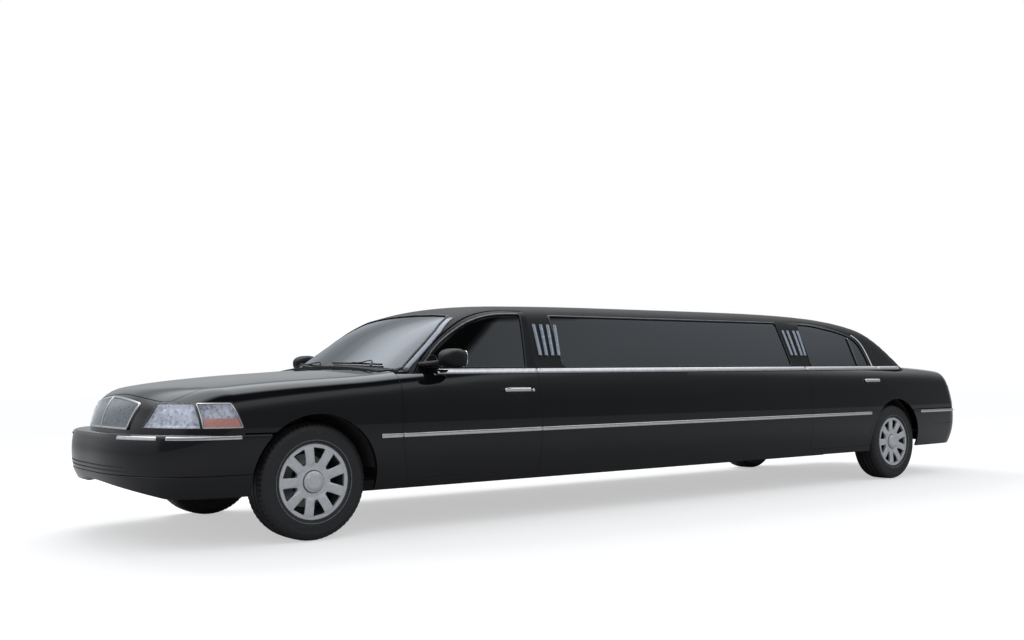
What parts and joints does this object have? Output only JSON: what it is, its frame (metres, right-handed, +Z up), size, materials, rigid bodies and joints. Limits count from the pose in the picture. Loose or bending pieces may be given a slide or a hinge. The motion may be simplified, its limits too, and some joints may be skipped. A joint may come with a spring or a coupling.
{
  "type": "stretch limousine",
  "caption": "Long black saloon car with a stretched passenger cabin, opening doors, hood and luggage lid, steered front wheels and spinning wheels on a ladder frame.",
  "frame": {"origin": "on the ground under the middle of the overall length and width, car at rest on its wheels", "axes": "+X forwards, +Y to the car's left, +Z up"},
  "size_m": [8.5188, 2.268, 1.5379],
  "materials": {
    "body_black": "gloss",
    "roof_vinyl": "grained satin covering",
    "frame_black": "matt",
    "floor_black": "matt sealed",
    "dash_plastic": "matt",
    "bright_chrome": "polished",
    "lamp_clear": "clear",
    "lamp_red": "gloss",
    "screen_glass": "clear",
    "dark_glass": "tinted",
    "cast_grey": "rough",
    "bare_steel": "satin",
    "exhaust_steel": "satin",
    "seat_leather": "satin",
    "wheel_alloy": "satin machined",
    "tyre_black": "matt"
  },
  "bodies": {
    "body": {"chassis_frame": "frame_black", "underbody": "floor_black", "dashboard": "dash_plastic", "front_bumper": "body_black", "rear_bumper": "body_black", "grille": "bright_chrome", "headlamps": "lamp_clear", "tail_lamps": "lamp_red", "front_fenders": "body_black", "body_sides": "body_black", "roof": "roof_vinyl", "windshield": "screen_glass", "rear_window": "dark_glass", "side_windows": "dark_glass", "engine": "cast_grey", "driveshaft": "bare_steel", "exhaust": "exhaust_steel", "front_seats": "seat_leather", "lounge_seats": "seat_leather", "partition": "dash_plastic", "front_suspension": "frame_black", "rear_axle": "cast_grey"},
    "hood": {"hood": "body_black"},
    "trunk_lid": {"trunk_lid": "body_black"},
    "door_front_left": {"front_door_left": "body_black", "front_door_glass_left": "dark_glass", "mirror_left": "body_black"},
    "door_front_right": {"front_door_right": "body_black", "front_door_glass_right": "dark_glass", "mirror_right": "body_black"},
    "door_rear_left": {"rear_door_left": "body_black", "rear_door_glass_left": "dark_glass"},
    "door_rear_right": {"rear_door_right": "body_black", "rear_door_glass_right": "dark_glass"},
    "knuckle_left": {"knuckle_left": "cast_grey"},
    "knuckle_right": {"knuckle_right": "cast_grey"},
    "wheel_front_left": {"rim_front_left": "wheel_alloy", "tyre_front_left": "tyre_black"},
    "wheel_front_right": {"rim_front_right": "wheel_alloy", "tyre_front_right": "tyre_black"},
    "wheel_rear_left": {"rim_rear_left": "wheel_alloy", "tyre_rear_left": "tyre_black"},
    "wheel_rear_right": {"rim_rear_right": "wheel_alloy", "tyre_rear_right": "tyre_black"},
    "steering_wheel": {"steering_wheel": "dash_plastic"}
  },
  "joints": [
    {"name": "hood_hinge", "type": "hinge", "parent": "body", "child": "hood", "pos_m": [2.69, 0, 1.066], "axis": [0, -1, 0], "range_deg": [0, 50]},
    {"name": "trunk_hinge", "type": "hinge", "parent": "body", "child": "trunk_lid", "pos_m": [-3.43, 0, 1.072], "axis": [0, 1, 0], "range_deg": [0, 75]},
    {"name": "front_door_left_hinge", "type": "hinge", "parent": "body", "child": "door_front_left", "pos_m": [2.558, 0.975, 0.6], "axis": [0, 0, -1], "range_deg": [0, 65]},
    {"name": "front_door_right_hinge", "type": "hinge", "parent": "body", "child": "door_front_right", "pos_m": [2.558, -0.975, 0.6], "axis": [0, 0, 1], "range_deg": [0, 65]},
    {"name": "rear_door_left_hinge", "type": "hinge", "parent": "body", "child": "door_rear_left", "pos_m": [-1.6, 0.975, 0.6], "axis": [0, 0, -1], "range_deg": [0, 65]},
    {"name": "rear_door_right_hinge", "type": "hinge", "parent": "body", "child": "door_rear_right", "pos_m": [-1.6, -0.975, 0.6], "axis": [0, 0, 1], "range_deg": [0, 65]},
    {"name": "steer_left", "type": "hinge", "parent": "body", "child": "knuckle_left", "pos_m": [3.2045, 0.735, 0.351], "axis": [0, 0, 1], "range_deg": [-32, 32]},
    {"name": "steer_right", "type": "hinge", "parent": "body", "child": "knuckle_right", "pos_m": [3.2045, -0.735, 0.351], "axis": [0, 0, 1], "range_deg": [-32, 32]},
    {"name": "spin_front_left", "type": "hinge", "parent": "knuckle_left", "child": "wheel_front_left", "pos_m": [3.2045, 0.805, 0.351], "axis": [0, 1, 0], "continuous": true},
    {"name": "spin_front_right", "type": "hinge", "parent": "knuckle_right", "child": "wheel_front_right", "pos_m": [3.2045, -0.805, 0.351], "axis": [0, 1, 0], "continuous": true},
    {"name": "spin_rear_left", "type": "hinge", "parent": "body", "child": "wheel_rear_left", "pos_m": [-2.8335, 0.8295, 0.351], "axis": [0, 1, 0], "continuous": true},
    {"name": "spin_rear_right", "type": "hinge", "parent": "body", "child": "wheel_rear_right", "pos_m": [-2.8335, -0.8295, 0.351], "axis": [0, 1, 0], "continuous": true},
    {"name": "steering_turn", "type": "hinge", "parent": "body", "child": "steering_wheel", "pos_m": [1.985, 0.37, 0.905], "axis": [-0.9135, 0, 0.4067], "range_deg": [-540, 540]}
  ],
  "couplings": [
    {"joint": "steer_right", "follows": "steer_left", "ratio": 1},
    {"joint": "steering_turn", "follows": "steer_left", "ratio": 16}
  ]
}
